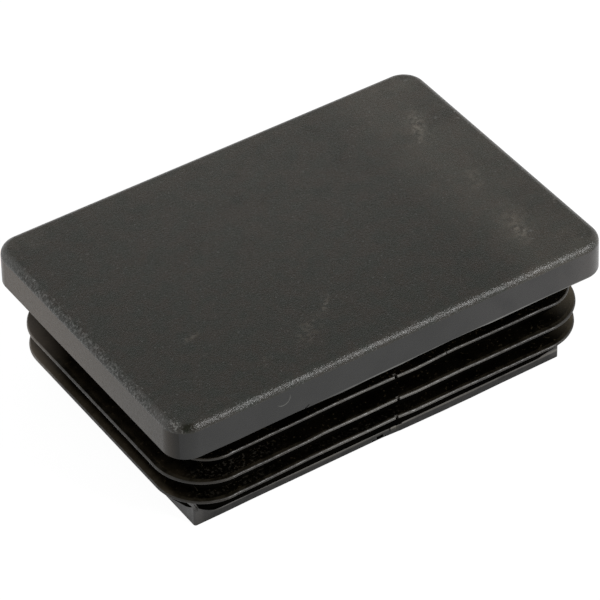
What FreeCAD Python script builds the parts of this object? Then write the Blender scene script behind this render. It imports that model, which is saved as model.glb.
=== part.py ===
import FreeCAD, Part
import os
import Sketcher

# Rectangular ribbed tube insert, moulded in one piece.
# Frame: +Z up, the open end at z = 0, the head on top, the long side along X,
# the origin in the middle of the open end.

V = FreeCAD.Vector

# Driving dimensions, in millimetres and degrees
SIZES = {
    "head_length": 60.2,        # head plate at its lower edge, along X
    "head_width": 41.2,         # head plate at its lower edge, along Y
    "head_height": 4.75,        # head plate, from underside to top face
    "head_corner_radius": 3.1,  # upright corners of the head
    "head_edge_radius": 1.0,    # rounding of the head's top edge
    "head_draft": 1.2,          # lean of the head's side faces, degrees
    "insert_depth": 14.5,       # what goes into the tube, below the head
    "body_length": 51.9,        # outside of the hollow body, along X
    "body_width": 33.2,         # outside of the hollow body, along Y
    "body_corner_radius": 0.3,  # upright corners of the body
    "wall": 2.0,                # wall of the body at the open end
    "cavity_corner_radius": 1.5,
    "cavity_draft": 0.8,        # taper of the hollow, degrees
    "crown": 3.2,               # plastic left above the hollow
    "fin_gap": 2.7,             # from the head's underside to the upper fin's top face
    "fin_pitch": 3.1,           # from one fin's top face to the next
    "fin_rim": 0.3,             # height of a fin's thin outer rim
    "fin_slope": 52.0,          # slope of a fin's underside, degrees
    "fin_root": 0.5,            # how far a fin's root runs into the wall
    "upper_fin_length": 54.8,   # each fin over its rim, along X, then along Y
    "upper_fin_width": 39.1,
    "upper_fin_corner": 4.7,    # its corner radius, seen from above
    "middle_fin_length": 58.1,
    "middle_fin_width": 40.3,
    "middle_fin_corner": 6.8,
    "lower_fin_length": 57.9,
    "lower_fin_width": 39.7,
    "lower_fin_corner": 6.4,
}
FINS = ["upper_fin", "middle_fin", "lower_fin"]

doc = FreeCAD.newDocument("tube_end_cap")

sheet = doc.addObject("Spreadsheet::Sheet", "Sizes")
for row, (name, value) in enumerate(SIZES.items(), start=1):
    sheet.set(f"A{row}", name)
    sheet.set(f"B{row}", str(value))
    sheet.setAlias(f"B{row}", name)
doc.recompute()


def size(name):
    """Expression that reads one driving dimension."""
    return f"Sizes.{name}"


cap = doc.addObject("PartDesign::Body", "EndCap")
cap.Label = "end_cap"


def plane(role):
    """One of the body's own origin planes."""
    return next(f for f in cap.Origin.OriginFeatures if f.Role == role)


def level_sketch(name, height):
    """Empty sketch on a level plane, its height given by an expression."""
    sketch = cap.newObject("Sketcher::SketchObject", name)
    sketch.AttachmentSupport = [(plane("XY_Plane"), "")]
    sketch.MapMode = "FlatFace"
    sketch.setExpression("AttachmentOffset.Base.z", height)
    return sketch


def bind(sketch, constraint, name, expression):
    """Adds a constraint, names it and ties it to an expression."""
    number = sketch.addConstraint(constraint)
    sketch.renameConstraint(number, name)
    sketch.setExpression(f"Constraints.{name}", expression)


def draw_rounded_rectangle(sketch, length, width, radius):
    """Centred rectangle with round corners, its sizes given by expressions."""
    x, y, r = 20.0, 10.0, 2.0
    centres = [V(x - r, -y + r, 0), V(x - r, y - r, 0), V(-x + r, y - r, 0), V(-x + r, -y + r, 0)]
    ends = [
        (V(-x + r, -y, 0), V(x - r, -y, 0)),
        (V(x, -y + r, 0), V(x, y - r, 0)),
        (V(x - r, y, 0), V(-x + r, y, 0)),
        (V(-x, y - r, 0), V(-x, -y + r, 0)),
    ]
    quarter = 1.5707963267948966
    sides = [sketch.addGeometry(Part.LineSegment(a, b)) for a, b in ends]
    arcs = [
        sketch.addGeometry(Part.ArcOfCircle(Part.Circle(c, V(0, 0, 1), r), (i - 1) * quarter, i * quarter))
        for i, c in enumerate(centres)
    ]
    for i in range(4):
        sketch.addConstraint(Sketcher.Constraint("Tangent", sides[i], 2, arcs[i], 1))
        sketch.addConstraint(Sketcher.Constraint("Tangent", arcs[i], 2, sides[(i + 1) % 4], 1))
    for i in range(1, 4):
        sketch.addConstraint(Sketcher.Constraint("Equal", arcs[0], arcs[i]))
    for i in (0, 2):
        sketch.addConstraint(Sketcher.Constraint("Horizontal", sides[i]))
        sketch.addConstraint(Sketcher.Constraint("Vertical", sides[i + 1]))
    sketch.addConstraint(Sketcher.Constraint("Symmetric", arcs[0], 3, arcs[2], 3, -1, 1))
    bind(sketch, Sketcher.Constraint("DistanceX", sides[3], 1, sides[1], 1, 2 * x), "Length", length)
    bind(sketch, Sketcher.Constraint("DistanceY", sides[0], 1, sides[2], 1, 2 * y), "Width", width)
    bind(sketch, Sketcher.Constraint("Radius", arcs[0], r), "Radius", radius)


def pad(name, sketch, length, taper=None, down=False):
    """Pad of a level sketch, upwards or down; taper leans the sides, narrowing if negative."""
    feature = cap.newObject("PartDesign::Pad", name)
    feature.Profile = sketch
    feature.Reversed = down
    feature.setExpression("Length", length)
    if taper:
        feature.setExpression("TaperAngle", taper)
    sketch.Visibility = False
    return feature


# Hollow body: a plain box, all but sharp at its upright corners
body_sketch = level_sketch("BodyOutline", "0")
draw_rounded_rectangle(body_sketch, size("body_length"), size("body_width"), size("body_corner_radius"))
pad("BodyBlock", body_sketch, size("insert_depth"))

# Head plate
head_sketch = level_sketch("HeadOutline", size("insert_depth"))
draw_rounded_rectangle(head_sketch, size("head_length"), size("head_width"), size("head_corner_radius"))
head = pad("HeadPlate", head_sketch, size("head_height"), "-Sizes.head_draft")
doc.recompute()

# Rounding of the head's top edge
top = head.Shape.BoundBox.ZMax
top_edges = [
    f"Edge{i}"
    for i, edge in enumerate(head.Shape.Edges, start=1)
    if edge.BoundBox.ZMin > top - 0.001
]
rounding = cap.newObject("PartDesign::Fillet", "HeadRounding")
rounding.Base = (head, top_edges)
rounding.setExpression("Radius", size("head_edge_radius"))

# Fins: each has a level top face, a thin rim and an underside that slopes in to the wall.
# The underside ends on the fin below, or inside the wall under the lowest fin.
for number, fin in enumerate(FINS):
    top_face = f"Sizes.insert_depth - Sizes.fin_gap - {number} * Sizes.fin_pitch"
    rim_foot = f"{top_face} - Sizes.fin_rim"
    reach = f"max((Sizes.{fin}_length - Sizes.body_length) / 2; (Sizes.{fin}_width - Sizes.body_width) / 2)"
    slope_height = f"({reach} + Sizes.fin_root) * tan(Sizes.fin_slope * 1deg)"
    room = rim_foot if fin == FINS[-1] else "Sizes.fin_pitch - Sizes.fin_rim"
    outline = level_sketch(f"{fin}_outline", rim_foot)
    draw_rounded_rectangle(outline, size(f"{fin}_length"), size(f"{fin}_width"), size(f"{fin}_corner"))
    pad(f"{fin}_rim", outline, size("fin_rim"))
    pad(f"{fin}_underside", outline, f"min({slope_height}; {room})", "Sizes.fin_slope - 90", down=True)

# Hollow, open below, its outline set in from the body's outside by the wall
hollow_sketch = level_sketch("HollowOutline", "0")
draw_rounded_rectangle(
    hollow_sketch,
    "Sizes.body_length - 2 * Sizes.wall",
    "Sizes.body_width - 2 * Sizes.wall",
    size("cavity_corner_radius"),
)
doc.recompute()
solid_volume = cap.Shape.Volume
hollow = cap.newObject("PartDesign::Pocket", "Hollow")
hollow.Profile = hollow_sketch
hollow.Reversed = True
hollow.setExpression("Length", "Sizes.insert_depth + Sizes.head_height - Sizes.crown")
hollow.setExpression("TaperAngle", "-Sizes.cavity_draft")
hollow_sketch.Visibility = False
doc.recompute()

# Every object is sound, and the hollow has cut what it should
for item in doc.Objects:
    if "Invalid" in item.State or "Error" in item.State:
        raise RuntimeError(f"{item.Name} is not sound: {item.State}")
shape = cap.Shape
if shape.isNull() or not shape.isValid() or len(shape.Solids) != 1:
    raise RuntimeError("the end cap is not one sound solid")
if shape.Volume > 0.8 * solid_volume:
    raise RuntimeError("the hollow has cut too little")

os.makedirs("parts", exist_ok=True)
shape.exportStep(f"parts/{cap.Label}.step")
box = shape.BoundBox
print(f"{cap.Label}: {box.XLength:.2f} x {box.YLength:.2f} x {box.ZLength:.2f} mm, {shape.Volume:.0f} mm3")
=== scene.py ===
"""Looks of the rectangular tube end cap: mesh, finishes, light and camera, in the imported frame."""

from __future__ import annotations

import logging
import math
from collections.abc import Callable
from dataclasses import dataclass, field, replace
from enum import Enum
from types import TracebackType

import bmesh
import bpy
from mathutils import Matrix, Vector

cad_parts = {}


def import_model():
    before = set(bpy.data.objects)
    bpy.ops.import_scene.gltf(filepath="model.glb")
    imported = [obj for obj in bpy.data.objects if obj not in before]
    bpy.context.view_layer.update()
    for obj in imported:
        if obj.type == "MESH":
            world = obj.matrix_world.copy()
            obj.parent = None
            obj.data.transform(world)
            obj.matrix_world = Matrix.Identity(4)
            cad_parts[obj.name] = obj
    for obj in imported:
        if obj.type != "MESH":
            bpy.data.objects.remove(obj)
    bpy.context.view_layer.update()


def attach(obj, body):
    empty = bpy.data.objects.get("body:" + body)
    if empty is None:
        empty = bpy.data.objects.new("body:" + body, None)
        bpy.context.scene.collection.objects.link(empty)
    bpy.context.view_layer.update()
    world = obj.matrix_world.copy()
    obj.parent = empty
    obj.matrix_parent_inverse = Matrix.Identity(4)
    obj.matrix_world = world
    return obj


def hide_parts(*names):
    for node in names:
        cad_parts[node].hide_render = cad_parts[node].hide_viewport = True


Pair = tuple[float, float]
Triple = tuple[float, float, float]
Row = tuple[float, ...]
Box = tuple[Triple, Triple]
Solid = bpy.types.Object
Socket = bpy.types.NodeSocket
PlaceTest = Callable[[Vector], bool]
PairTest = Callable[[Vector, Vector], bool]

LOG = logging.getLogger("end_cap")
# One millimetre in metres, and the slack in millimetres with which a place counts as the same.
MM = 0.001
EPS = 0.004
# The upright share of a normal above which a face is level, and the one above which it is dead level.
LEVEL = 0.9
DEAD_LEVEL = 0.985


class Join(Enum):
    """How one solid is combined with another."""

    UNION = "UNION"
    DIFFERENCE = "DIFFERENCE"


class Part(Enum):
    """What edit mode picks."""

    VERTS = "VERT"
    EDGES = "EDGE"
    FACES = "FACE"


class Noise(Enum):
    """Detail and roughness of a noise."""

    CLOUD = (3.0, 0.6)
    PATCH = (4.0, 0.6)
    GRAIN = (2.5, 0.7)
    WAVE = (2.0, 0.5)


def deselect_all() -> None:
    """Leaves object mode with nothing selected."""
    if bpy.context.mode != "OBJECT":
        bpy.ops.object.mode_set(mode="OBJECT")
    bpy.ops.object.select_all(action="DESELECT")


def make_active(obj: Solid) -> None:
    """Selects one object alone and makes it the active one.

    Args:
        obj: The object.
    """
    deselect_all()
    obj.select_set(True)
    bpy.context.view_layer.objects.active = obj


def settle() -> None:
    """Puts the selected object's place, turn and scale into its mesh."""
    bpy.ops.object.transform_apply(location=True, rotation=True, scale=True)


class Bench:
    """Edit mode on one mesh, with picking by place; places and sizes are in millimetres."""

    def __init__(self, obj: Solid) -> None:
        """Takes the object to work on."""
        self.obj = obj

    def __enter__(self) -> Bench:
        """Enters edit mode with nothing selected.

        Returns:
            The bench itself.
        """
        make_active(self.obj)
        bpy.ops.object.mode_set(mode="EDIT")
        self.start(Part.VERTS)
        return self

    def __exit__(self, kind: type | None, error: BaseException | None, trace: TracebackType | None) -> None:
        """Leaves edit mode."""
        bpy.ops.object.mode_set(mode="OBJECT")

    def start(self, part: Part) -> None:
        """Deselects everything, and gets ready to pick one kind of part."""
        bpy.ops.mesh.select_mode(type=part.value)
        bpy.ops.mesh.select_all(action="DESELECT")

    def pick(self, part: Part, test: Callable[..., bool]) -> None:
        """Selects what passes a test.

        Args:
            part: What is tested.
            test: Says whether a vertex, edge or face is wanted.
        """
        self.start(part)
        mesh = bmesh.from_edit_mesh(self.obj.data)
        parts = {Part.VERTS: mesh.verts, Part.EDGES: mesh.edges, Part.FACES: mesh.faces}[part]
        for piece in [p for p in parts if test(p)]:
            piece.select = True
        if part is Part.VERTS:
            mesh.select_flush(True)
        bmesh.update_edit_mesh(self.obj.data)

    def pick_verts(self, test: PlaceTest) -> None:
        """Selects the vertices whose place passes a test."""
        self.pick(Part.VERTS, lambda v: test(v.co / MM))

    def pick_edges(self, test: PairTest) -> None:
        """Selects the edges whose two ends pass a test."""
        self.pick(Part.EDGES, lambda e: test(e.verts[0].co / MM, e.verts[1].co / MM))

    def pick_faces(self, test: PairTest) -> None:
        """Selects the faces whose middle and normal pass a test."""
        self.pick(Part.FACES, lambda f: test(f.calc_center_median() / MM, f.normal))

    def inset(self, inwards: float, outwards: float) -> None:
        """Insets the picked faces and moves them along their normal."""
        bpy.ops.mesh.inset(thickness=inwards * MM, depth=outwards * MM, use_even_offset=True)

    def round_edges(self, radius: float, segments: int) -> None:
        """Rounds the picked edges over."""
        bpy.ops.mesh.bevel(offset=radius * MM, segments=segments, profile=0.5, affect="EDGES")

    def face_outwards(self) -> None:
        """Turns every face outwards."""
        bpy.ops.mesh.select_all(action="SELECT")
        bpy.ops.mesh.normals_make_consistent(inside=False)

    def close_and_orient(self) -> None:
        """Fills open outlines and turns every face outwards."""
        self.start(Part.EDGES)
        bpy.ops.mesh.select_non_manifold(extend=False)
        if any(e.select for e in bmesh.from_edit_mesh(self.obj.data).edges):
            bpy.ops.mesh.edge_face_add()
        self.face_outwards()

    def cut_along(self, place: Triple, normal: Triple) -> None:
        """Adds vertices where the plane through a place, across a normal, meets the mesh."""
        bpy.ops.mesh.select_all(action="SELECT")
        bpy.ops.mesh.bisect(plane_co=tuple(p * MM for p in place), plane_no=normal)


def outline(name: str, length: float, width: float, radius: float, z: float, steps: int) -> Solid:
    """Makes a flat rectangle with round corners, centred on the origin's upright axis.

    Args:
        name: Name of the new object.
        length: Size along X.
        width: Size along Y.
        radius: Corner radius.
        z: Height.
        steps: Straight runs in each corner.

    Returns:
        The new mesh object, one face.
    """
    deselect_all()
    bpy.ops.mesh.primitive_plane_add(size=1.0, location=(0, 0, z * MM))
    plate = bpy.context.active_object
    plate.name = name
    plate.scale = (length * MM, width * MM, 1.0)
    settle()
    with Bench(plate) as bench:
        bench.pick_verts(lambda p: True)
        bpy.ops.mesh.bevel(
            offset=radius * MM, segments=steps, profile=0.5, affect="VERTICES", clamp_overlap=False,
        )
    return plate


def grow(plate: Solid, height: float, lean: float) -> None:
    """Turns a flat outline into a solid above it, whose sides lean in by a constant amount all round.

    Args:
        plate: The one-face outline.
        height: How far it grows.
        lean: How far the sides come in over that height.
    """
    least = 1e-5
    with Bench(plate) as bench:
        bench.pick_faces(lambda c, n: True)
        if bmesh.from_edit_mesh(plate.data).faces[:][0].normal.z <= 0:
            bpy.ops.mesh.flip_normals()
        bench.inset(max(lean, least), height)
        bench.close_and_orient()


def combine(base: Solid, tool: Solid, how: Join) -> None:
    """Joins a tool to a base, or cuts it out, and removes the tool.

    Args:
        base: The mesh that is changed.
        tool: The mesh that is used up.
        how: Union or difference.
    """
    make_active(base)
    change = base.modifiers.new("combine", "BOOLEAN")
    change.operation = how.value
    change.solver = "EXACT"
    change.object = tool
    bpy.ops.object.modifier_apply(modifier=change.name)
    bpy.data.objects.remove(tool, do_unlink=True)


def block(name: str, corners: Box) -> Solid:
    """Makes a plain box for cutting or joining.

    Args:
        name: Name of the new object.
        corners: Its lowest and highest corner, in millimetres.

    Returns:
        The closed mesh, active and selected.
    """
    low, high = (Vector(corner) for corner in corners)
    deselect_all()
    bpy.ops.mesh.primitive_cube_add(size=1.0, location=tuple((low + high) / 2 * MM))
    box = bpy.context.active_object
    box.name = name
    box.scale = tuple((high - low) * MM)
    settle()
    return box


@dataclass
class Head:
    """The plate that covers the tube's end, in millimetres."""

    length: float = 60.2
    width: float = 41.2
    bottom: float = 14.5
    top: float = 19.25
    corner: float = 3.1
    rounding: float = 0.98
    lean: float = 0.1
    lower_rounding: float = 0.05
    edge_band: float = 0.2

    def build(self) -> Solid:
        """Makes the plate: a leaning rounded rectangle with its top edge rounded over.

        Returns:
            The closed mesh.
        """
        plate = outline("head", self.length, self.width, self.corner, self.bottom, steps=24)
        grow(plate, self.top - self.bottom, self.lean)
        with Bench(plate) as bench:
            bench.pick_edges(lambda a, b: min(a.z, b.z) > self.top - EPS)
            bench.round_edges(self.rounding, segments=12)
            bench.pick_edges(lambda a, b: max(a.z, b.z) < self.bottom + EPS)
            bench.round_edges(self.lower_rounding, segments=2)
        return plate

    def on_lower_edge(self, p: Vector, side: int) -> bool:
        """Says whether a place is on the lower edge of the long side that faces this way."""
        return p.y * side > self.width / 2 - self.edge_band and p.z < self.bottom + self.edge_band


@dataclass
class Fin:
    """One gripping fin, in millimetres: level top, thin rounded rim and an underside that slopes in.

    Its reach is how far the slope comes in, its lip the lighter band of the top along the rim, its fillet the
    insets and drops that follow the slope, and its waves the rim's shifts at the stations of Unevenness.
    """

    name: str
    length: float
    width: float
    top: float
    corner: float
    reach: float
    waves: Row
    rim: float = 0.3
    slope: float = 1.28
    rounding: float = 0.24
    lower_rounding: float = 0.02
    lip: float = 0.62
    lip_drop: float = 0.4
    rim_band: float = 0.5
    rim_slack: float = 0.05
    fillet: tuple[Pair, ...] = ()

    @property
    def foot(self) -> float:
        """Gives the height of the rim's lower edge."""
        return self.top - self.rim

    def build(self) -> Solid:
        """Makes the fin as a closed plate that the body later passes through.

        Returns:
            The closed mesh.
        """
        foot = self.foot
        plate = outline(self.name, self.length, self.width, self.corner, foot, steps=20)
        grow(plate, self.rim, 0.0)
        with Bench(plate) as bench:
            bench.pick_faces(lambda c, n: abs(c.z - foot) < EPS and n.z < -LEVEL)
            for inwards, drop in ((self.reach, self.reach * self.slope), *self.fillet):
                bench.inset(inwards, drop)
            bench.pick_edges(lambda a, b: min(a.z, b.z) > self.top - EPS)
            bench.round_edges(self.rounding, segments=5)
            if self.lip > self.rounding:
                bench.pick_faces(lambda c, n: c.z > self.top - EPS and n.z > LEVEL)
                bench.inset(self.lip - self.rounding, 0.0)
            bench.pick_edges(lambda a, b: abs(a.z - foot) < EPS and abs(b.z - foot) < EPS)
            bench.round_edges(self.lower_rounding, segments=1)
        return plate

    def on_lip(self, c: Vector, n: Vector) -> bool:
        """Says whether a face is on the lighter lip of the fin's top.

        Args:
            c: The face's middle.
            n: Its normal.

        Returns:
            True on the lip.
        """
        far_x = abs(c.x) - self.length / 2 + self.corner
        far_y = abs(c.y) - self.width / 2 + self.corner
        away = self.corner - math.hypot(max(far_x, 0.0), max(far_y, 0.0)) - min(max(far_x, far_y), 0.0)
        return n.z > DEAD_LEVEL and abs(c.z - self.top) < self.lip_drop and away < self.lip

    def on_rim(self, p: Vector, side: int) -> bool:
        """Says whether a place is on the rim of the long side that faces this way."""
        near = -self.rim - self.rim_slack < p.z - self.top < self.rim_slack
        return p.y * side > self.width / 2 - self.rim_band and near


@dataclass
class Body:
    """The hollow block that goes into the tube, in millimetres."""

    length: float = 51.9
    width: float = 33.2
    top: float = 15.5
    corner: float = 0.3
    wall: float = 2.0
    hollow_corner: float = 1.5
    hollow_top: float = 16.0
    hollow_lean: float = 0.22
    hollow_rounding: float = 0.5
    hollow_below: float = 1.0
    base_height: float = 3.0
    base_slack: float = 0.02

    def build(self) -> Solid:
        """Makes the outer block.

        Returns:
            The closed mesh.
        """
        plate = outline("body", self.length, self.width, self.corner, 0.0, steps=4)
        grow(plate, self.top, 0.0)
        return plate

    def hollow(self) -> Solid:
        """Makes the solid that is cut out of the underside.

        Returns:
            The closed mesh.
        """
        walls = 2 * self.wall
        below = self.hollow_below
        sides = self.length - walls, self.width - walls
        plate = outline("hollow", *sides, self.hollow_corner, -below, steps=8)
        grow(plate, self.hollow_top + below, self.hollow_lean)
        with Bench(plate) as bench:
            bench.pick_edges(lambda a, b: min(a.z, b.z) > self.hollow_top - EPS)
            bench.round_edges(self.hollow_rounding, segments=4)
        return plate

    def on_base(self, p: Vector, side: int) -> bool:
        """Says whether a place is low on the long wall that faces this way."""
        return abs(p.y * side - self.width / 2) < self.base_slack and p.z < self.base_height


@dataclass
class Web:
    """The thin upright web that joins a fin's rim to the body's corner, in millimetres and degrees."""

    sunk: float = 0.3
    half: float = 0.2
    toe: float = 0.2
    below_slope: float = 0.35
    below_foot: float = 0.05
    below_top: float = 0.1
    from_rim: float = 0.06
    heading: float = 225.0

    def build(self, fin: Fin, body: Body) -> Solid:
        """Makes the web of the front left corner.

        Args:
            fin: The fin that it carries.
            body: The body that it grows from.

        Returns:
            The closed mesh, at its place.
        """
        centre = Vector((fin.corner - fin.length / 2, fin.corner - fin.width / 2, 0))
        inner = math.hypot(body.length / 2 + centre.x, body.width / 2 + centre.y) - self.sunk
        low = fin.foot - min(fin.reach, fin.corner - inner) * fin.slope - self.below_slope
        outer, high = fin.corner - self.from_rim, fin.top - self.below_top
        piece = block("web", ((inner, -self.half, low), (outer, self.half, high)))
        with Bench(piece) as bench:
            bench.cut_along((0, 0, fin.foot - self.below_foot), (0, 0, 1))
            bench.pick_verts(lambda p: p.x > inner + EPS and p.z < low + EPS)
            bpy.ops.transform.translate(value=(-(fin.corner - inner - self.toe) * MM, 0, 0))
            bench.face_outwards()
        make_active(piece)
        piece.rotation_euler = (0, 0, math.radians(self.heading))
        piece.location = centre * MM
        settle()
        return piece


@dataclass
class Unevenness:
    """Slight waves of the long sides, and the step where the two halves of the mould met.

    Each row of shifts belongs to the stations, in millimetres; a positive shift stands out or hangs lower.
    """

    stations: Row = (-22, -18, -14, -12, -10, -8, -4, 0.28, 0.32, 3, 5, 7, 9, 11, 13, 17, 21)
    base: Row = (
        0.0, -0.06, -0.07, -0.07, -0.08, -0.09, -0.1, -0.12, 0.0, 0.04, 0.07, 0.09, 0.12, 0.11, 0.12, 0.05,
        0.03,
    )
    head: Row = (
        0.09, 0.02, 0.0, 0.06, 0.1, 0.2, 0.07, 0.05, -0.06, -0.07, -0.08, -0.15, -0.13, -0.09, 0.03, 0.0,
        -0.05,
    )

    def cut(self, bench: Bench) -> None:
        """Adds a row of vertices at every station."""
        for x in self.stations:
            bench.cut_along((x, 0, 0), (1, 0, 0))

    def shift(self, bench: Bench, shifts: Row, near: PlaceTest, way: Vector) -> None:
        """Moves the picked vertices at each station.

        Args:
            bench: Edit mode on the cap.
            shifts: One value for each station, in millimetres.
            near: Says which vertices belong to the edge.
            way: Unit direction of a positive shift.
        """
        for x, amount in zip(self.stations, shifts):
            if amount:
                bench.pick_verts(lambda p, x=x: abs(p.x - x) < EPS and near(p))
                bpy.ops.transform.translate(value=tuple(way * amount * MM))


@dataclass
class Marks:
    """Small traces that the moulding left on the front, in millimetres.

    A box is given by its lowest and highest corner. The gap is cut in each fin's rim, the notch in the upper
    fin's, the slit in the head's lower edge, and the nicks and the flash are at the body's foot.
    """

    gap: Pair = (0.14, 0.56)
    gap_out: float = 0.2
    gap_in: float = 0.6
    gap_below: float = 0.5
    gap_above: float = 0.1
    notch: Box = ((7.48, -19.7, 11.3), (7.64, -19.2, 12.0))
    long_nick: Box = ((-0.5, -17.0, 0.04), (0.42, -15.6, 0.52))
    short_nick: Box = ((-1.15, -17.0, 0.04), (-0.55, -16.2, 0.26))
    slit: Box = ((-0.35, -21.0, -0.06), (0.35, -20.3, 0.06))
    slit_turn: float = -31.0
    slit_place: Triple = (-12.68, 0, 14.66)
    flash: Box = ((1.35, -16.68, 0.5), (2.15, -16.4, 1.2))
    flash_front: float = -16.6
    flash_rounding: float = 0.06

    def leave_on(self, cap: Solid, fins: tuple[Fin, ...]) -> None:
        """Cuts the gaps, the notch, the nicks and the slit, and adds the flash.

        Args:
            cap: The joined mesh.
            fins: The fins whose rims have a gap.
        """
        cuts = []
        left, right = self.gap
        for fin in fins:
            front = -fin.width / 2
            low = (left, front - self.gap_out, fin.top - self.gap_below)
            cuts.append((low, (right, front + self.gap_in, fin.top + self.gap_above)))
        for corners in (*cuts, self.notch, self.long_nick, self.short_nick):
            combine(cap, block("cut", corners), Join.DIFFERENCE)
        slit = block("slit", self.slit)
        slit.rotation_euler = (0, math.radians(self.slit_turn), 0)
        slit.location = Vector(self.slit_place) * MM
        settle()
        combine(cap, slit, Join.DIFFERENCE)
        flash = block("flash", self.flash)
        with Bench(flash) as bench:
            bench.pick_edges(lambda a, b: max(a.y, b.y) < self.flash_front)
            bench.round_edges(self.flash_rounding, segments=3)
        combine(cap, flash, Join.UNION)


@dataclass
class EndCap:
    """The whole moulding, one piece."""

    head: Head = field(default_factory=Head)
    body: Body = field(default_factory=Body)
    web: Web = field(default_factory=Web)
    uneven: Unevenness = field(default_factory=Unevenness)
    marks: Marks = field(default_factory=Marks)
    smooth_angle: float = 32.0
    fins: tuple[Fin, ...] = (
        Fin(
            "upper_fin", length=54.8, width=39.1, top=11.79, corner=4.7, reach=2.2, lip=0.0,
            waves=(
                -0.06, -0.09, -0.11, -0.14, -0.19, -0.22, -0.19, -0.1, 0.0, 0.01, -0.06, -0.18, -0.22, -0.16,
                -0.11, -0.06, -0.08,
            ),
        ),
        Fin(
            "middle_fin", length=58.1, width=40.3, top=8.74, corner=6.8, reach=2.2,
            waves=(
                -0.05, -0.05, -0.11, -0.14, -0.27, -0.24, -0.2, -0.22, -0.07, -0.08, -0.11, -0.13, -0.15,
                -0.12, -0.09, -0.06, -0.03,
            ),
        ),
        Fin(
            "lower_fin", length=57.9, width=39.7, top=5.57, corner=6.4, reach=3.07,
            fillet=((0.099, 0.158), (0.061, 0.172), (0.021, 0.181), (0.4, 0.2)),
            waves=(
                -0.06, -0.08, -0.19, -0.27, -0.26, -0.28, -0.26, -0.29, -0.09, -0.11, -0.12, -0.12, -0.13,
                -0.11, -0.07, -0.05, -0.02,
            ),
        ),
    )

    def build(self) -> Solid:
        """Makes and joins head, body, fins, webs and hollow, and gives them their small faults.

        Returns:
            The finished mesh object.
        """
        cap = self.head.build()
        cap.name = "end_cap_moulding"
        combine(cap, self.body.build(), Join.UNION)
        for fin in self.fins:
            combine(cap, fin.build(), Join.UNION)
        self.add_webs(cap)
        combine(cap, self.body.hollow(), Join.DIFFERENCE)
        self.make_uneven(cap)
        self.marks.leave_on(cap, self.fins)
        make_active(cap)
        bpy.ops.object.shade_smooth_by_angle(angle=math.radians(self.smooth_angle))
        even = cap.modifiers.new("even_normals", "WEIGHTED_NORMAL")
        even.keep_sharp = True
        bpy.ops.object.modifier_apply(modifier=even.name)
        return cap

    def add_webs(self, cap: Solid) -> None:
        """Joins a web to each fin at each of the four corners.

        Args:
            cap: The mesh so far.
        """
        corners = [(turn_x, turn_y) for turn_x in (1, -1) for turn_y in (1, -1)]
        for fin in self.fins:
            for turn_x, turn_y in corners:
                web = self.web.build(fin, self.body)
                make_active(web)
                web.scale = (turn_x, turn_y, 1)
                settle()
                with Bench(web) as bench:
                    bench.face_outwards()
                combine(cap, web, Join.UNION)

    def make_uneven(self, cap: Solid) -> None:
        """Bends rims, base and the head's lower edge slightly, on both long sides.

        Args:
            cap: The joined mesh.
        """
        uneven = self.uneven
        down = Vector((0, 0, -1))
        with Bench(cap) as bench:
            uneven.cut(bench)
            for side in (-1, 1):
                out = Vector((0, side, 0))
                for fin in self.fins:
                    uneven.shift(bench, fin.waves, lambda p, f=fin, s=side: f.on_rim(p, s), out)
                uneven.shift(bench, uneven.base, lambda p, s=side: self.body.on_base(p, s), out)
                uneven.shift(bench, uneven.head, lambda p, s=side: self.head.on_lower_edge(p, s), down)


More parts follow.
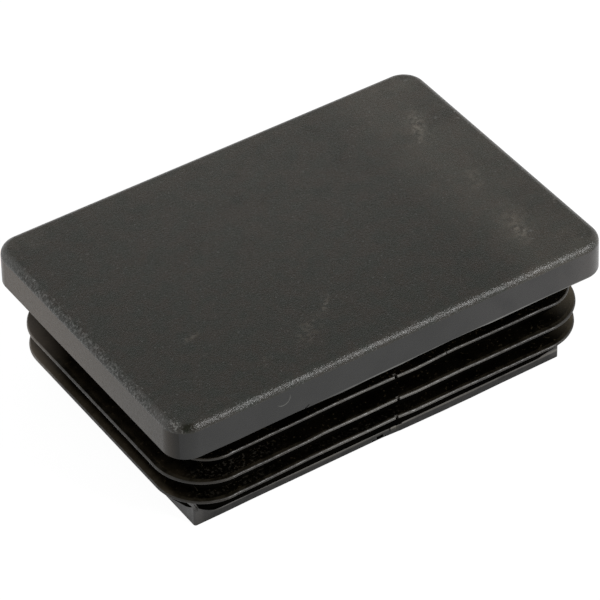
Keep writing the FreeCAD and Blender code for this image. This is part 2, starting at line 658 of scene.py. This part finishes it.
class Nodes:
    """Short way to write a node tree."""

    def __init__(self, tree: bpy.types.NodeTree, output: str) -> None:
        """Empties a tree and gives it its output node.

        Args:
            tree: The tree of a material or world.
            output: Kind of its output node.
        """
        self.tree = tree
        self.tree.nodes.clear()
        self.output = self.add(output)

    def add(self, kind: str, **settings: object) -> bpy.types.Node:
        """Adds a node.

        Args:
            kind: Its kind.
            **settings: Its plain properties.

        Returns:
            The new node.
        """
        node = self.tree.nodes.new(kind)
        for key, value in settings.items():
            setattr(node, key, value)
        return node

    def link(self, source: Socket, target: Socket) -> None:
        """Joins two sockets."""
        self.tree.links.new(source, target)

    def place(self) -> Socket:
        """Returns the place on the object, in metres."""
        return self.add("ShaderNodeTexCoord").outputs["Object"]

    def noise(self, scale: float, kind: Noise) -> Socket:
        """Adds a noise on object coordinates.

        Args:
            scale: Its waves in a metre.
            kind: Its detail and roughness.

        Returns:
            The noise's value.
        """
        noise = self.add("ShaderNodeTexNoise")
        for key, number in zip(("Scale", "Detail", "Roughness"), (scale, *kind.value)):
            noise.inputs[key].default_value = number
        self.link(self.place(), noise.inputs["Vector"])
        return noise.outputs["Fac"]

    def spread(self, value: Socket, given: Pair, wanted: Pair = (0.0, 1.0)) -> Socket:
        """Maps a value from one range to another, clamped and eased.

        Args:
            value: The value.
            given: The range that it comes from.
            wanted: The range that it gets.

        Returns:
            The mapped value.
        """
        node = self.add("ShaderNodeMapRange", interpolation_type="SMOOTHSTEP")
        for key, number in zip(("From Min", "From Max", "To Min", "To Max"), (*given, *wanted)):
            node.inputs[key].default_value = number
        self.link(value, node.inputs["Value"])
        return node.outputs["Result"]

    def math(self, operation: str, a: Socket, b: Socket | float = 0.0) -> Socket:
        """Adds a math node.

        Args:
            operation: What it does.
            a: The first value.
            b: The second value, or a number.

        Returns:
            The result.
        """
        node = self.add("ShaderNodeMath", operation=operation)
        self.link(a, node.inputs[0])
        if isinstance(b, float):
            node.inputs[1].default_value = b
        else:
            self.link(b, node.inputs[1])
        return node.outputs[0]

    def times(self, a: Socket, b: Socket | float) -> Socket:
        """Multiplies two values."""
        return self.math("MULTIPLY", a, b)

    def mix(self, share: Socket, first: bpy.types.Node, second: bpy.types.Node) -> bpy.types.Node:
        """Mixes two shaders.

        Args:
            share: How much of the second, from 0 to 1.
            first: One shader.
            second: The other.

        Returns:
            The mixed shader.
        """
        node = self.add("ShaderNodeMixShader")
        for source, target in zip((share, first.outputs[0], second.outputs[0]), node.inputs):
            self.link(source, target)
        return node

    def vector(self, operation: str, a: Socket, b: Triple = (0.0, 0.0, 0.0)) -> bpy.types.Node:
        """Adds a math node on a vector.

        Args:
            operation: What it does.
            a: The vector.
            b: A plain second vector.

        Returns:
            The node.
        """
        node = self.add("ShaderNodeVectorMath", operation=operation)
        self.link(a, node.inputs[0])
        node.inputs[1].default_value = b
        return node

    def away_from(self, centre: Triple) -> Socket:
        """Returns the way from a centre, in millimetres, to the place, in metres."""
        return self.vector("SUBTRACT", self.place(), tuple(c * MM for c in centre)).outputs[0]

    def far(self, centre: Triple, reach: Triple, turn: float) -> Socket:
        """Returns the distance from a centre, where 1 is the reach along each axis.

        Args:
            centre: Middle of the ellipsoid, in millimetres.
            reach: Its half axes, in millimetres.
            turn: Angle of its first axis from X about Z, in degrees.

        Returns:
            The distance, 1 on the shell.
        """
        away = self.away_from(centre)
        turned = self.add("ShaderNodeVectorRotate", rotation_type="Z_AXIS")
        turned.inputs["Angle"].default_value = -math.radians(turn)
        self.link(away, turned.inputs["Vector"])
        scaled = self.vector("DIVIDE", turned.outputs[0], tuple(r * MM for r in reach))
        return self.vector("LENGTH", scaled.outputs[0]).outputs["Value"]

    def along(self, centre: Triple, way: Triple) -> Socket:
        """Returns the distance from a centre along a way, in millimetres, times the way's length."""
        away = self.away_from(centre)
        return self.vector("DOT_PRODUCT", away, tuple(w / MM for w in way)).outputs["Value"]

    def axis(self, name: str) -> Socket:
        """Returns how far a place is from the middle along one axis.

        Args:
            name: X, Y or Z.

        Returns:
            The distance, in metres.
        """
        parts = self.add("ShaderNodeSeparateXYZ")
        self.link(self.place(), parts.inputs[0])
        return self.math("ABSOLUTE", parts.outputs[name])

    def bump(self, height: Socket, distance: float) -> Socket:
        """Adds a bump.

        Args:
            height: Its height, from 0 to 1.
            distance: What a height of 1 stands for, in metres.

        Returns:
            The normal.
        """
        node = self.add("ShaderNodeBump")
        node.inputs["Distance"].default_value = distance
        self.link(height, node.inputs["Height"])
        return node.outputs["Normal"]


class Zone(Enum):
    """Where a veil lies."""

    SPOT = "inside an ellipsoid"
    RING = "on the shell of an ellipsoid"
    EDGE = "from a distance along X or Y to the outside"


@dataclass(frozen=True)
class Veil:
    """A thin layer of colour over a finish, in millimetres, such as dust or a smudge; many veils are painted
    light: highlights, glints, reflections and lit patches.

    A spot or ring has a centre and half axes, an edge the distances where it starts and where it is full. The
    edge's last numbers, if given, are heights: it is full below the first and gone above the second. The
    grain is a noise's scale and the range over which it shows, and the fade a way along which it comes in.
    """

    colour: Triple
    amount: float
    centre: Triple
    reach: Triple
    soft: float = 0.9
    grain: Triple | None = None
    zone: Zone = Zone.SPOT
    turn: float = 0.0
    fade: Triple = (0.0, 0.0, 0.0)

    def mask(self, nodes: Nodes) -> Socket:
        """Says how much of the veil is on each place.

        Args:
            nodes: The material's tree.

        Returns:
            A value from 0 to the amount.
        """
        if self.zone is Zone.EDGE:
            start_x, start_y, low_z = (c * MM for c in self.centre)
            full_x, full_y, high_z = (r * MM for r in self.reach)
            along_x = nodes.spread(nodes.axis("X"), (start_x, full_x))
            along_y = nodes.spread(nodes.axis("Y"), (start_y, full_y))
            here = nodes.math("MAXIMUM", along_x, along_y)
            if high_z:
                here = nodes.times(here, nodes.spread(nodes.axis("Z"), (high_z, low_z)))
        else:
            away = nodes.far(self.centre, self.reach, self.turn)
            if self.zone is Zone.RING:
                away = nodes.math("ABSOLUTE", nodes.math("SUBTRACT", away, 1.0))
                here = nodes.spread(away, (self.soft, 0.0))
            else:
                here = nodes.spread(away, (1.0, 1.0 - self.soft))
        if any(self.fade):
            here = nodes.times(here, nodes.spread(nodes.along(self.centre, self.fade), (0.0, 1.0)))
        if self.grain:
            scale, low, high = self.grain
            here = nodes.times(here, nodes.spread(nodes.noise(scale, Noise.CLOUD), (low, high)))
        return nodes.times(here, self.amount)

    def over(self, nodes: Nodes, under: Socket) -> Socket:
        """Adds the veil to a colour.

        Args:
            nodes: The material's tree.
            under: The colour under it.

        Returns:
            The colour with the veil.
        """
        mix = nodes.add("ShaderNodeMix", data_type="RGBA", blend_type="ADD")
        mix.inputs["B"].default_value = (*self.colour, 1.0)
        nodes.link(self.mask(nodes), mix.inputs["Factor"])
        nodes.link(under, mix.inputs["A"])
        return mix.outputs["Result"]


@dataclass(frozen=True)
class PlasticFinish:
    """Black moulded plastic with a grain of its own, veils over it, and places where its reflection is turned
    down: duller dots and painted shade.

    Scales are in waves in a metre, depths in metres.
    """

    name: str
    dark: Triple
    light: Triple
    patch_scale: float
    roughness: Pair
    grain_scale: float
    grain_depth: float
    specular: float
    wave_scale: float = 0.0
    wave_depth: float = 0.0
    veils: tuple[Veil, ...] = ()
    dull: tuple[Veil, ...] = ()
    patch_range: Pair = (0.35, 0.65)
    grain_range: Pair = (0.3, 0.7)

    def material(self) -> bpy.types.Material:
        """Builds the node tree.

        Returns:
            The new material.
        """
        material = bpy.data.materials.new(self.name)
        material.use_nodes = True
        nodes = Nodes(material.node_tree, "ShaderNodeOutputMaterial")
        shader = nodes.add("ShaderNodeBsdfPrincipled")
        shader.inputs["Specular IOR Level"].default_value = self.specular
        if self.dull:
            nodes.link(self.gloss(nodes), shader.inputs["Specular IOR Level"])
        ground = nodes.add("ShaderNodeMix", data_type="RGBA")
        ground.inputs["A"].default_value = (*self.dark, 1.0)
        ground.inputs["B"].default_value = (*self.light, 1.0)
        patches = nodes.spread(nodes.noise(self.patch_scale, Noise.PATCH), self.patch_range)
        nodes.link(patches, ground.inputs["Factor"])
        colour = ground.outputs["Result"]
        for veil in self.veils:
            colour = veil.over(nodes, colour)
        nodes.link(colour, shader.inputs["Base Color"])
        grain = nodes.noise(self.grain_scale, Noise.GRAIN)
        nodes.link(nodes.spread(grain, self.grain_range, self.roughness), shader.inputs["Roughness"])
        normal = nodes.bump(grain, self.grain_depth)
        if self.wave_scale:
            wave = nodes.bump(nodes.noise(self.wave_scale, Noise.WAVE), self.wave_depth)
            nodes.link(wave, normal.node.inputs["Normal"])
        nodes.link(normal, shader.inputs["Normal"])
        nodes.link(shader.outputs["BSDF"], nodes.output.inputs["Surface"])
        return material

    def gloss(self, nodes: Nodes) -> Socket:
        """Returns the specular level, which falls under the dull veils: duller dots and painted shade.

        Args:
            nodes: The material's tree.

        Returns:
            A value from 0 to the plain level.
        """
        dimmed = self.dull[0].mask(nodes)
        for place in self.dull[1:]:
            dimmed = nodes.math("MAXIMUM", dimmed, place.mask(nodes))
        return nodes.spread(dimmed, (0.0, 1.0), (self.specular, 0.0))


# An edge veil that starts and is full out beyond the cap isn't there along that axis.
OUT = 90.0
FAR_OUT = 99.0
WARM = (0.023, 0.020, 0.0165)
DUST = (0.036, 0.032, 0.026)
PALE_DUST = (0.055, 0.049, 0.041)
BROWN = (0.030, 0.023, 0.014)
GREY = (0.05, 0.05, 0.05)
# Painted light in a brownish tone on the rounded back-left and front-right ends of the fins.
LEFT_END_PAINTED_LIGHT = Veil((0.15, 0.128, 0.107), 1.0, (-30.5, 16, 7), (6, 10.5, 9))
RIGHT_END_PAINTED_LIGHT = Veil((0.100, 0.085, 0.061), 1.0, (31, -14, 7), (10, 9, 9))
LOW_RIM = Veil(
    (0.040, 0.032, 0.022), 1.0, (27.6, OUT, 5.9), (28.7, FAR_OUT, 7.0), grain=(900, 0.0, 0.5),
    zone=Zone.EDGE,
)
# Painted glints: the pale dots on the rounded top edges.
PAINTED_GLINT = (0.11, 0.11, 0.105)

GRAINED_TOP = PlasticFinish(
    "grained_top", dark=(0.0032, 0.0048, 0.0006), light=(0.0088, 0.0058, 0.0012), patch_scale=420.0,
    roughness=(0.2, 0.34), grain_scale=4200.0, grain_depth=0.0002, specular=0.3,
    veils=(
        # Painted reflection, with brown dust on the right part: the top grows lighter toward the back, along
        # the back edge and toward the right end.
        Veil((0.018, 0.0165, 0.0145), 1.0, (8, 24, 19), (60, 50, 30), grain=(260, 0.0, 0.55)),
        Veil((0.015, 0.013, 0.010), 0.8, (0, 24, 19), (60, 8, 30), soft=0.7, grain=(420, 0.2, 0.6)),
        Veil(WARM, 0.9, (42, 0, 19), (28, 900, 30), soft=0.28, grain=(160, 0.1, 0.6)),
        Veil(DUST, 0.8, (23.6, 9.3, 19.2), (5.6, 2.8, 3), grain=(900, 0.38, 0.62), turn=64),
        Veil(PALE_DUST, 1.0, (23.8, 10.0, 19.2), (4.4, 1.4, 3), grain=(1300, 0.42, 0.6), turn=64),
        Veil(DUST, 0.8, (22.4, -12.0, 19.2), (5.5, 3.0, 3), grain=(900, 0.36, 0.62), turn=72),
        Veil(PALE_DUST, 1.0, (22.3, -13.4, 19.2), (3.4, 1.5, 3), grain=(1300, 0.42, 0.6), turn=72),
        Veil(DUST, 0.8, (23.6, -2.0, 19.2), (4.0, 1.6, 3), grain=(1200, 0.4, 0.62), turn=70),
        Veil(DUST, 0.6, (26.5, 18.3, 19.2), (5, 3, 3), soft=0.8, grain=(500, 0.35, 0.65)),
        Veil(WARM, 0.8, (-28, 18.6, 19.2), (6, 4, 3), grain=(500, 0.3, 0.65)),
        Veil(DUST, 0.6, (27.5, -18.3, 19.2), (4, 3, 3), soft=0.8, grain=(500, 0.35, 0.65)),
        Veil(PALE_DUST, 0.8, (-4.0, -11.3, 19.2), (2.9, 0.8, 3), grain=(1500, 0.42, 0.6), turn=52),
        Veil(DUST, 0.8, (-8.0, -14.0, 19.2), (4.2, 2.2, 3), grain=(1500, 0.46, 0.62), turn=40),
        Veil(PALE_DUST, 0.7, (-19.9, -7.5, 19.2), (2.4, 0.6, 3), grain=(1500, 0.42, 0.6), turn=12),
        Veil(DUST, 0.5, (-15.3, -15.9, 19.2), (3.0, 0.8, 3), grain=(1500, 0.46, 0.62), turn=30),
        Veil(GREY, 1.0, (0, 0, 19), (60, 60, 9), soft=0.3, grain=(2600, 0.62, 0.72)),
        # Painted glints along the right short top edge.
        Veil(PAINTED_GLINT, 0.9, (27.9, OUT, 0), (29.2, FAR_OUT, 0), grain=(2200, 0.62, 0.7), zone=Zone.EDGE),
        Veil(GREY, 0.9, (23.2, -14.2, 19.2), (0.35, 0.3, 1), soft=0.8),
        Veil(GREY, 0.9, (26.6, 10.0, 19.2), (0.3, 0.3, 1), soft=0.8),
        Veil(GREY, 0.9, (27.8, 18.3, 19.2), (0.4, 0.3, 1), soft=0.8),
    ),
)
GRAINED_EDGE = replace(
    GRAINED_TOP, name="grained_edge", specular=0.5, roughness=(0.16, 0.3), grain_depth=0.0001,
    veils=GRAINED_TOP.veils + (
        # Painted glints: pale dots along the left short top edge and at the front-left corner.
        Veil((0.05, 0.05, 0.047), 0.9, (-29.9, 0, 18.8), (1.0, 21, 2), soft=0.4, grain=(3000, 0.52, 0.62)),
        Veil(PAINTED_GLINT, 1.0, (-29.3, -18.9, 19.0), (1.0, 1.0, 1.2), soft=0.6, grain=(3200, 0.47, 0.6)),
    ),
    dull=(
        Veil((0, 0, 0), 0.5, (-29.9, 0, 18.8), (1.0, 21, 2), soft=0.4, grain=(3000, 0.7, 0.4)),
        # Painted shade: the turned-down reflection darkens a patch at the front-left corner.
        Veil((0, 0, 0), 0.62, (-28.1, -20.0, 19.0), (1.5, 0.8, 1.2), soft=0.8, turn=-25),
    ),
)
SATIN_SIDE = PlasticFinish(
    "satin_side", dark=(0.0045, 0.0045, 0.0045), light=(0.0078, 0.0078, 0.0075), patch_scale=200.0,
    roughness=(0.25, 0.36), grain_scale=2500.0, grain_depth=0.000006, specular=0.4,
    veils=(
        Veil((0.0055, 0.0055, 0.005), 1.0, (OUT, 19.7, 0), (FAR_OUT, 20.3, 0), zone=Zone.EDGE),
        Veil((0.009, 0.008, 0.008), 1.0, (42, -20, 17), (38, 60, 60), soft=0.35, grain=(200, 0.2, 0.5)),
        Veil((0.032, 0.029, 0.027), 1.0, (36, -20, 17), (16, 9, 60), soft=0.6, grain=(250, 0.1, 0.5)),
        # Painted highlight: a light band along the head's lower front edge.
        Veil((0.12, 0.12, 0.113), 0.9, (11, -20.6, 14.5), (25, 9, 0.26), soft=0.5, grain=(300, 0.2, 0.5)),
        Veil(
            (0.10, 0.10, 0.09), 0.9, (-15.85, -20.5, 17.3), (0.97, 30, 0.9), soft=0.1, grain=(500, 0.2, 0.5),
            zone=Zone.RING, fade=(0.6, 0.0, -1.2),
        ),
    ),
)
SHORT_SIDE = replace(
    SATIN_SIDE, name="short_side", dark=(0.004, 0.003, 0.001), light=(0.006, 0.0045, 0.002), specular=0.31,
    veils=(
        Veil(
            (0.010, 0.005, 0.0), 1.0, (29.3, OUT, 0), (30.0, FAR_OUT, 0), grain=(180, 0.1, 0.4),
            zone=Zone.EDGE,
        ),
        Veil((0.034, 0.024, 0.016), 1.0, (-30, 16, 17), (3, 36, 30), grain=(220, 0.0, 0.45)),
        Veil((0.03, 0.027, 0.025), 1.0, (30, -20, 17), (3, 9, 60), soft=0.6),
    ),
)
FIN_TOP = PlasticFinish(
    "fin_top", dark=(0.0006, 0.0005, 0.0003), light=(0.0020, 0.0016, 0.0009), patch_scale=300.0,
    roughness=(0.3, 0.4), grain_scale=1800.0, grain_depth=0.00001, specular=0.05,
    veils=(
        # Brown dust and painted light: the fin tops grow lighter toward the right end.
        Veil(BROWN, 0.3, (25.4, OUT, 0), (27.8, FAR_OUT, 0), grain=(700, 0.2, 0.7), zone=Zone.EDGE),
        Veil(BROWN, 0.6, (27.7, OUT, 0), (28.9, FAR_OUT, 0), grain=(900, 0.1, 0.6), zone=Zone.EDGE),
        LOW_RIM,
        Veil(BROWN, 0.25, (OUT, 18.6, 0), (FAR_OUT, 20.2, 0), grain=(700, 0.4, 0.7), zone=Zone.EDGE),
        LEFT_END_PAINTED_LIGHT,
        RIGHT_END_PAINTED_LIGHT,
        Veil(BROWN, 0.8, (0, 0, 7), (60, 60, 30), soft=0.3, grain=(2600, 0.61, 0.7)),
        Veil(DUST, 0.9, (-21, -17.5, 7.5), (9, 4, 3.6), soft=0.8, grain=(2400, 0.53, 0.64)),
        Veil(DUST, 0.5, (-4, -17.5, 4.5), (14, 4, 2.6), soft=0.8, grain=(2400, 0.56, 0.66)),
    ),
)
FIN_LIP = replace(
    FIN_TOP, name="fin_lip", dark=(0.005, 0.004, 0.0025), light=(0.018, 0.015, 0.010), patch_scale=700.0,
    veils=(LOW_RIM, LEFT_END_PAINTED_LIGHT, RIGHT_END_PAINTED_LIGHT),
)
FIN_RIM = PlasticFinish(
    "fin_rim", dark=(0.006, 0.0045, 0.0022), light=(0.014, 0.011, 0.0065), patch_scale=500.0,
    roughness=(0.3, 0.55), grain_scale=1500.0, grain_depth=0.00003, specular=0.43, wave_scale=420.0,
    wave_depth=0.00025,
    veils=(
        LEFT_END_PAINTED_LIGHT,
        # Painted highlight: the front rims lighter in the middle.
        Veil((0.060, 0.058, 0.053), 0.9, (0, -20, 8), (17, 5, 9), soft=0.8),
    ),
)
# Painted shade: a black finish with no reflection, laid on the fins' undersides, the body wall between the
# fins and the nicks.
PAINTED_SHADE_BLACK = PlasticFinish(
    "painted_shade_black", dark=(0.0012, 0.0012, 0.001), light=(0.003, 0.0026, 0.002), patch_scale=300.0,
    roughness=(0.4, 0.6), grain_scale=1800.0, grain_depth=0.00001, specular=0.0,
)
BODY_WALL = PlasticFinish(
    "body_wall", dark=(0.003, 0.0028, 0.0022), light=(0.012, 0.011, 0.0095), patch_scale=700.0,
    roughness=(0.2, 0.34), grain_scale=1500.0, grain_depth=0.000025, specular=0.5, wave_scale=300.0,
    wave_depth=0.0002,
    veils=(
        Veil((0.02, 0.018, 0.008), 0.8, (2.2, -16.6, 0.9), (1.0, 1, 0.7), soft=0.7, grain=(1500, 0.3, 0.6)),
        # Painted highlight: a light line along the top of the wall strip under the lowest fin.
        Veil(
            (0.088, 0.082, 0.071), 0.9, (-24.5, 0, 1.14), (900, 900, 0.3), soft=0.7, grain=(260, 0.15, 0.5),
            fade=(0.25, 0.0, 0.0),
        ),
        # Painted light: the body's left short wall made lighter.
        Veil((0.014, 0.013, 0.012), 1.0, (-26, 0, 1), (1.5, 60, 6), soft=0.3),
        # Painted highlight: the same light line on the front left.
        Veil((0.085, 0.08, 0.07), 0.9, (-6, -16.6, 1.05), (15, 3, 0.5), soft=0.8),
    ),
)
FINISHES = (
    FIN_TOP, SATIN_SIDE, GRAINED_TOP, PAINTED_SHADE_BLACK, BODY_WALL, FIN_RIM, GRAINED_EDGE, FIN_LIP, SHORT_SIDE,
)


@dataclass
class Dressing:
    """Gives each region of the cap its finish, by its faces' middles and normals, in millimetres."""

    fins: tuple[Fin, ...]
    head_bottom: float = 14.5
    over_bottom: float = 14.51
    grain_from: float = 18.15
    body: Pair = (25.97, 16.62)
    hollow: Pair = (24.1, 14.8)
    outside: Triple = (25.0, 16.6, 16.5)
    upright: float = 0.5
    rim_down: float = -0.45
    ring_top: float = 1.36
    ring_foot: float = 0.1
    slope_from: float = 0.2
    shade_from: float = 2.6
    nick_half: float = 1.2
    nick_top: float = 0.55
    nick_depth: Pair = (-16.35, -15.2)
    web_line: float = 9.1
    web_half: float = 0.32
    web_from: float = 24.0
    web_top: float = 5.3
    end_share: float = 0.72
    edge_range: Pair = (0.02, 0.99)

    def dress(self, cap: Solid) -> None:
        """Assigns the finishes; a later rule wins over an earlier one.

        Args:
            cap: The finished mesh.
        """
        for finish in FINISHES:
            cap.data.materials.append(finish.material())
        rules = (
            (BODY_WALL, self.wall_or_hollow), (FIN_RIM, self.rim), (PAINTED_SHADE_BLACK, self.underside),
            (PAINTED_SHADE_BLACK, self.shaded_wall), (BODY_WALL, self.base_ring), (PAINTED_SHADE_BLACK, self.nick),
            (FIN_LIP, self.lip), (FIN_RIM, self.web), (SATIN_SIDE, self.head_side),
            (SHORT_SIDE, self.head_end), (GRAINED_EDGE, self.head_edge), (GRAINED_TOP, self.head_top),
        )
        with Bench(cap) as bench:
            for finish, test in rules:
                bench.pick_faces(test)
                cap.active_material_index = FINISHES.index(finish)
                bpy.ops.object.material_slot_assign()

    def in_body(self, c: Vector) -> bool:
        """Says whether a place is in or on the body."""
        return abs(c.x) < self.body[0] and abs(c.y) < self.body[1]

    def in_hollow(self, c: Vector) -> bool:
        """Says whether a place is in the hollow."""
        return abs(c.x) < self.hollow[0] and abs(c.y) < self.hollow[1]

    def wall_or_hollow(self, c: Vector, n: Vector) -> bool:
        """Is true on a wall of the body or anywhere in the hollow."""
        wall = abs(n.z) < self.upright or self.in_hollow(c)
        return self.in_body(c) and c.z < self.head_bottom and wall

    def rim(self, c: Vector, n: Vector) -> bool:
        """Is true on a fin's rim."""
        outer = self.ring_top < c.z < self.head_bottom and not self.in_body(c)
        return outer and self.rim_down < n.z < DEAD_LEVEL

    def underside(self, c: Vector, n: Vector) -> bool:
        """Is true of a face that looks down, outside of the hollow."""
        return self.slope_from < c.z < self.over_bottom and n.z < -self.upright and not self.in_hollow(c)

    def shaded_wall(self, c: Vector, n: Vector) -> bool:
        """Is true on the body's wall between the fins."""
        wall = self.in_body(c) and not self.in_hollow(c) and abs(n.z) < self.upright
        return self.shade_from < c.z < self.head_bottom and wall

    def base_ring(self, c: Vector, n: Vector) -> bool:
        """Is true on the ring at the body's foot."""
        side = c.z < self.ring_top and abs(n.z) < self.upright
        return side or (c.z < self.ring_foot and n.z < -LEVEL)

    def nick(self, c: Vector, n: Vector) -> bool:
        """Is true in a nick of the foot."""
        front, back = self.nick_depth
        return abs(c.x) < self.nick_half and c.z < self.nick_top and front < c.y < back

    def lip(self, c: Vector, n: Vector) -> bool:
        """Is true on the lip of a fin."""
        return any(fin.on_lip(c, n) for fin in self.fins)

    def web(self, c: Vector, n: Vector) -> bool:
        """Is true on a corner web of the lowest fin."""
        line = abs(abs(c.x) - abs(c.y) - self.web_line) < self.web_half and abs(c.x) > self.web_from
        return c.z < self.web_top and line and not self.in_body(c)

    def head_side(self, c: Vector, n: Vector) -> bool:
        """Is true on the head, and not in the hollow."""
        x, y, z = self.outside
        return c.z > self.over_bottom and (abs(c.x) > x or abs(c.y) > y or c.z > z)

    def head_end(self, c: Vector, n: Vector) -> bool:
        """Is true on a short side of the head."""
        return self.head_side(c, n) and abs(n.x) > self.end_share and n.z < self.upright

    def head_edge(self, c: Vector, n: Vector) -> bool:
        """Is true on the rounded upper edge of the head."""
        return c.z > self.grain_from and self.edge_range[0] < n.z < self.edge_range[1]

    def head_top(self, c: Vector, n: Vector) -> bool:
        """Is true on the head's top."""
        return c.z > self.grain_from and n.z >= self.edge_range[1]


@dataclass(frozen=True)
class Lamp:
    """A soft square lamp that faces the object; reach and size in metres, power in watts."""

    name: str
    direction: Triple
    reach: float
    size: float
    power: float

    def build(self) -> None:
        """Makes the lamp."""
        way = Vector(self.direction).normalized()
        deselect_all()
        bpy.ops.object.light_add(type="AREA", location=way * self.reach)
        lamp = bpy.context.active_object
        lamp.name = self.name
        lamp.rotation_euler = way.to_track_quat("Z", "Y").to_euler()
        lamp.data.size = self.size
        lamp.data.energy = self.power


@dataclass
class Studio:
    """White ground, soft light and the photograph's view; angles in degrees, the camera's in millimetres."""

    azimuth: float = -32.443
    elevation: float = 40.318
    roll: float = -1.7046
    distance: float = 459.86
    aim_right: float = 0.087
    aim_up: float = -7.055
    lens: float = 234.97
    sensor: float = 36.0
    nearest: float = 0.01
    top: float = 19.25
    ground_size: float = 6.0
    ground_paper: float = 0.8
    ground_glow: float = 0.95
    ground_share: float = 0.12
    mirrored_low: float = 0.5
    mirrored_reach: float = 0.004
    mirrored_range: Pair = (0.45, 0.75)
    mirrored_samples: int = 8
    plain_light: float = 0.6
    white_light: float = 1.0
    lamps: tuple[Lamp, ...] = (
        Lamp("key", (0.409, -0.766, 0.494), reach=0.7, size=0.26, power=3.4),
        Lamp("fill", (-0.647, 0.643, 0.409), reach=0.8, size=0.8, power=1.6),
    )

    def build(self) -> None:
        """Makes floor, world, lamps and camera."""
        self.floor()
        self.world()
        for lamp in self.lamps:
            lamp.build()
        self.camera()

    def floor(self) -> None:
        """Makes the white ground, which keeps the soft shadow and darkens close to the cap in reflections."""
        deselect_all()
        bpy.ops.mesh.primitive_plane_add(size=self.ground_size, location=(0, 0, 0))
        ground = bpy.context.active_object
        ground.name = "ground"
        material = bpy.data.materials.new("white_ground")
        material.use_nodes = True
        nodes = Nodes(material.node_tree, "ShaderNodeOutputMaterial")
        paper = nodes.add("ShaderNodeBsdfDiffuse")
        paper.inputs["Color"].default_value = (self.ground_paper,) * 3 + (1,)
        glow = nodes.add("ShaderNodeEmission")
        glow.inputs["Strength"].default_value = self.ground_glow
        shade = nodes.add("ShaderNodeBsdfDiffuse")
        shade.inputs["Color"].default_value = (self.ground_share,) * 3 + (1,)
        seen = nodes.add("ShaderNodeAddShader")
        nodes.link(glow.outputs[0], seen.inputs[0])
        nodes.link(shade.outputs[0], seen.inputs[1])
        near = nodes.add("ShaderNodeAmbientOcclusion", samples=self.mirrored_samples)
        near.inputs["Distance"].default_value = self.mirrored_reach
        mirrored = nodes.add("ShaderNodeEmission")
        clear = nodes.spread(near.outputs["AO"], self.mirrored_range, (self.mirrored_low, 1.0))
        nodes.link(clear, mirrored.inputs["Strength"])
        path = nodes.add("ShaderNodeLightPath")
        straight = nodes.math("MAXIMUM", path.outputs["Is Camera Ray"], path.outputs["Is Transmission Ray"])
        lower = nodes.mix(path.outputs["Is Glossy Ray"], paper, mirrored)
        whole = nodes.mix(straight, lower, seen)
        nodes.link(whole.outputs[0], nodes.output.inputs["Surface"])
        ground.data.materials.append(material)

    def world(self) -> None:
        """Makes the surrounding: white to look at, plain as light."""
        world = bpy.data.worlds.new("surround")
        bpy.context.scene.world = world
        world.use_nodes = True
        nodes = Nodes(world.node_tree, "ShaderNodeOutputWorld")
        plain = nodes.add("ShaderNodeBackground")
        plain.inputs["Strength"].default_value = self.plain_light
        white = nodes.add("ShaderNodeBackground")
        white.inputs["Strength"].default_value = self.white_light
        path = nodes.add("ShaderNodeLightPath")
        looked_at = nodes.math("MAXIMUM", path.outputs["Is Camera Ray"], path.outputs["Is Glossy Ray"])
        looked_at = nodes.math("MAXIMUM", looked_at, path.outputs["Is Transmission Ray"])
        whole = nodes.mix(looked_at, plain, white)
        nodes.link(whole.outputs[0], nodes.output.inputs["Surface"])

    def camera(self) -> None:
        """Places the camera as the photograph's."""
        a, e, r = (math.radians(v) for v in (self.azimuth, self.elevation, self.roll))
        back = Vector((math.sin(a) * math.cos(e), -math.cos(a) * math.cos(e), math.sin(e)))
        level = Vector((math.cos(a), math.sin(a), 0))
        upright = back.cross(level)
        right = level * math.cos(r) + upright * math.sin(r)
        up = upright * math.cos(r) - level * math.sin(r)
        place = Vector((0, 0, self.top)) + right * self.aim_right + up * self.aim_up + back * self.distance
        data = bpy.data.cameras.new("camera")
        data.lens = self.lens
        data.sensor_width = self.sensor
        data.clip_start = self.nearest
        camera = bpy.data.objects.new("camera", data)
        turn = Matrix((right, up, back)).transposed().to_4x4()
        camera.matrix_world = Matrix.Translation(place * MM) @ turn
        bpy.context.collection.objects.link(camera)
        bpy.context.scene.camera = camera


def main() -> None:
    """Builds the cap, dresses it and sets the stage."""
    logging.basicConfig(level=logging.INFO, format="%(name)s: %(message)s")
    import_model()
    moulding = EndCap()
    cap = moulding.build()
    Dressing(moulding.fins).dress(cap)
    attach(cap, "root")
    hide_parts("end_cap")
    LOG.info("%s: %d faces", cap.name, len(cap.data.polygons))
    Studio().build()
    bpy.context.scene.view_settings.view_transform = "Standard"


if __name__ == "__main__":
    main()
